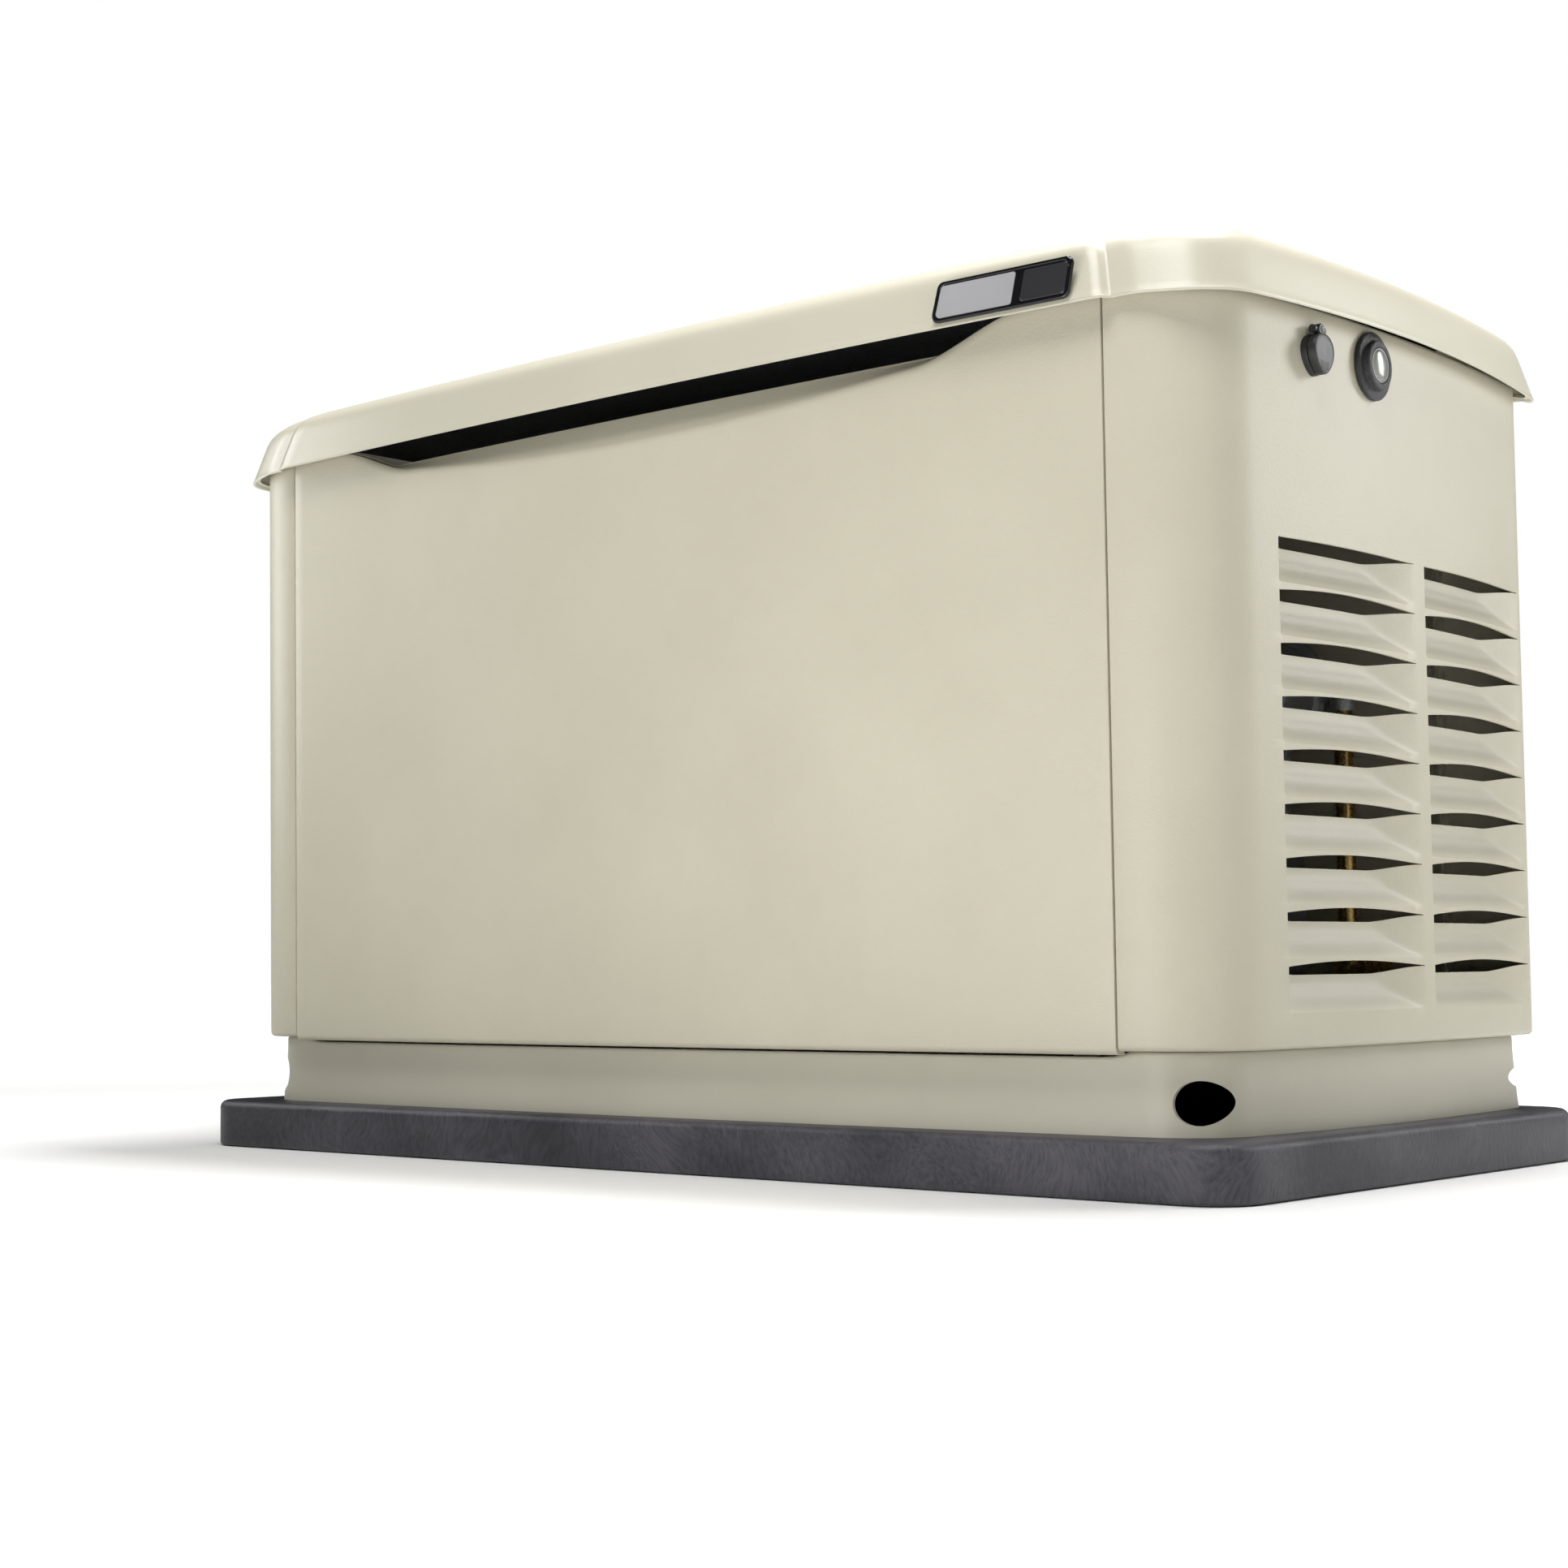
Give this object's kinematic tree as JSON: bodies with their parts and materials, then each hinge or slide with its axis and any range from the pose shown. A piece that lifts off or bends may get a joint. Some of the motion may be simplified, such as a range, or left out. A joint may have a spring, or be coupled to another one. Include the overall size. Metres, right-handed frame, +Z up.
{
  "type": "home standby generator",
  "caption": "Boxy home standby generator: bowed steel enclosure with a hinged crowned lid and louvred ends, on a low pad, engine and alternator inside.",
  "frame": {"origin": "bottom centre of the pad, under the middle of the whole object", "axes": "+X along the length towards the louvred intake end with the status lens, -Y towards the front panel, +Z up"},
  "size_m": [1.218, 0.638, 0.78],
  "materials": {
    "bisque_paint": "textured powder coat, satin",
    "pad_composite": "mottled moulded composite",
    "foam": "open-cell foam",
    "zinc_steel": "zinc plated",
    "black_plastic": "moulded, fine texture",
    "gloss_black": "gloss",
    "badge_grey": "printed film",
    "clear_lens": "clear, slightly frosted",
    "grey_steel": "aluminised steel",
    "cast_alloy": "cast",
    "black_paint": "satin",
    "forged_steel": "machined",
    "copper_winding": "varnished windings and laminations",
    "oil_filter_paint": "gloss",
    "yellow_plastic": "moulded",
    "filter_paper": "pleated",
    "orange_plastic": "moulded",
    "black_rubber": "matt",
    "brass_fitting": "machined",
    "green_button": "moulded",
    "red_button": "moulded",
    "blue_button": "moulded"
  },
  "bodies": {
    "enclosure": {"mounting_pad": "pad_composite", "base_tray": "bisque_paint", "right_end_panel": "bisque_paint", "left_end_panel": "bisque_paint", "back_panel": "bisque_paint", "hinge_fixed_leaves": "zinc_steel", "hinge_pins": "zinc_steel", "lock_housings": "black_plastic", "indicator_bezel": "black_plastic", "indicator_lens": "clear_lens", "divider_panel": "grey_steel", "panel_screws": "zinc_steel", "crankcase": "cast_alloy", "cylinders": "cast_alloy", "cylinder_heads": "cast_alloy", "rocker_covers": "black_paint", "blower_housing": "black_plastic", "starter_motor": "black_plastic", "oil_filter": "oil_filter_paint", "air_cleaner_base": "black_plastic", "air_filter": "filter_paper", "fuel_mixer": "cast_alloy", "fuel_hose": "black_rubber", "fuel_regulator": "cast_alloy", "fuel_inlet": "brass_fitting", "exhaust_pipes": "grey_steel", "muffler": "grey_steel", "alternator_can": "black_paint", "stator": "copper_winding", "bearing_carrier": "cast_alloy", "rotor_bearing": "zinc_steel", "rubber_mounts": "black_rubber", "battery": "black_plastic", "battery_strap": "zinc_steel", "control_housing": "grey_steel", "control_fascia": "black_plastic", "breaker": "black_plastic"},
    "lid": {"lid": "bisque_paint", "lid_front_band": "bisque_paint", "lid_foam": "foam", "hinge_moving_leaves": "zinc_steel", "lid_keepers": "zinc_steel", "badge_frame": "gloss_black", "badge_panes": "badge_grey"},
    "front_panel": {"front_panel": "bisque_paint"},
    "right_lock_cover": {"right_lock_cover": "black_plastic"},
    "left_lock_cover": {"left_lock_cover": "black_plastic"},
    "right_lock_barrel": {"right_lock_barrel": "zinc_steel"},
    "left_lock_barrel": {"left_lock_barrel": "zinc_steel"},
    "crank": {"crankshaft": "forged_steel", "flywheel_fan": "black_plastic", "rotor": "copper_winding"},
    "fuel_selector": {"fuel_selector_knob": "orange_plastic"},
    "dipstick": {"oil_dipstick": "yellow_plastic"},
    "oil_cap": {"oil_fill_cap": "yellow_plastic"},
    "air_cover": {"air_cleaner_cover": "black_plastic"},
    "auto_button": {"auto_button": "green_button"},
    "off_button": {"off_button": "red_button"},
    "manual_button": {"manual_button": "blue_button"},
    "breaker_lever": {"breaker_lever": "black_plastic"}
  },
  "joints": [
    {"name": "lid_hinge", "type": "hinge", "parent": "enclosure", "child": "lid", "pos_m": [0, 0.31245, 0.697], "axis": [-1, 0, 0], "range_deg": [0, 78]},
    {"name": "front_panel_lift", "type": "slide", "parent": "enclosure", "child": "front_panel", "axis": [0, 0, 1], "range_m": [0, 0.02]},
    {"name": "right_lock_flip", "type": "hinge", "parent": "enclosure", "child": "right_lock_cover", "pos_m": [0.59927, -0.13, 0.696], "axis": [0, -1, 0], "range_deg": [0, 90]},
    {"name": "left_lock_flip", "type": "hinge", "parent": "enclosure", "child": "left_lock_cover", "pos_m": [-0.59927, -0.13, 0.696], "axis": [0, 1, 0], "range_deg": [0, 90]},
    {"name": "right_lock_turn", "type": "hinge", "parent": "enclosure", "child": "right_lock_barrel", "pos_m": [0.59027, -0.13, 0.68], "axis": [1, 0, 0], "range_deg": [0, 90]},
    {"name": "left_lock_turn", "type": "hinge", "parent": "enclosure", "child": "left_lock_barrel", "pos_m": [-0.59027, -0.13, 0.68], "axis": [1, 0, 0], "range_deg": [0, 90]},
    {"name": "crank_spin", "type": "hinge", "parent": "enclosure", "child": "crank", "pos_m": [0, 0, 0.29], "axis": [1, 0, 0], "continuous": true},
    {"name": "fuel_selector_turn", "type": "hinge", "parent": "enclosure", "child": "fuel_selector", "pos_m": [-0.124, -0.03, 0.44], "axis": [0, -1, 0], "range_deg": [0, 90]},
    {"name": "dipstick_pull", "type": "slide", "parent": "enclosure", "child": "dipstick", "axis": [0, 0, 1], "range_m": [0, 0.19]},
    {"name": "oil_cap_turn", "type": "hinge", "parent": "enclosure", "child": "oil_cap", "pos_m": [-0.118, -0.20365, 0.49365], "axis": [0, -0.7071, 0.7071], "range_deg": [0, 90]},
    {"name": "air_cover_lift", "type": "slide", "parent": "enclosure", "child": "air_cover", "axis": [0, 0, 1], "range_m": [0, 0.09]},
    {"name": "auto_press", "type": "slide", "parent": "enclosure", "child": "auto_button", "axis": [0, 1, 0], "range_m": [0, 0.0015], "stiffness_N_per_m": 800},
    {"name": "off_press", "type": "slide", "parent": "enclosure", "child": "off_button", "axis": [0, 1, 0], "range_m": [0, 0.0015], "stiffness_N_per_m": 800},
    {"name": "manual_press", "type": "slide", "parent": "enclosure", "child": "manual_button", "axis": [0, 1, 0], "range_m": [0, 0.0015], "stiffness_N_per_m": 800},
    {"name": "breaker_toggle", "type": "hinge", "parent": "enclosure", "child": "breaker_lever", "pos_m": [0.28, -0.263, 0.576], "axis": [1, 0, 0], "range_deg": [0, 60]}
  ]
}
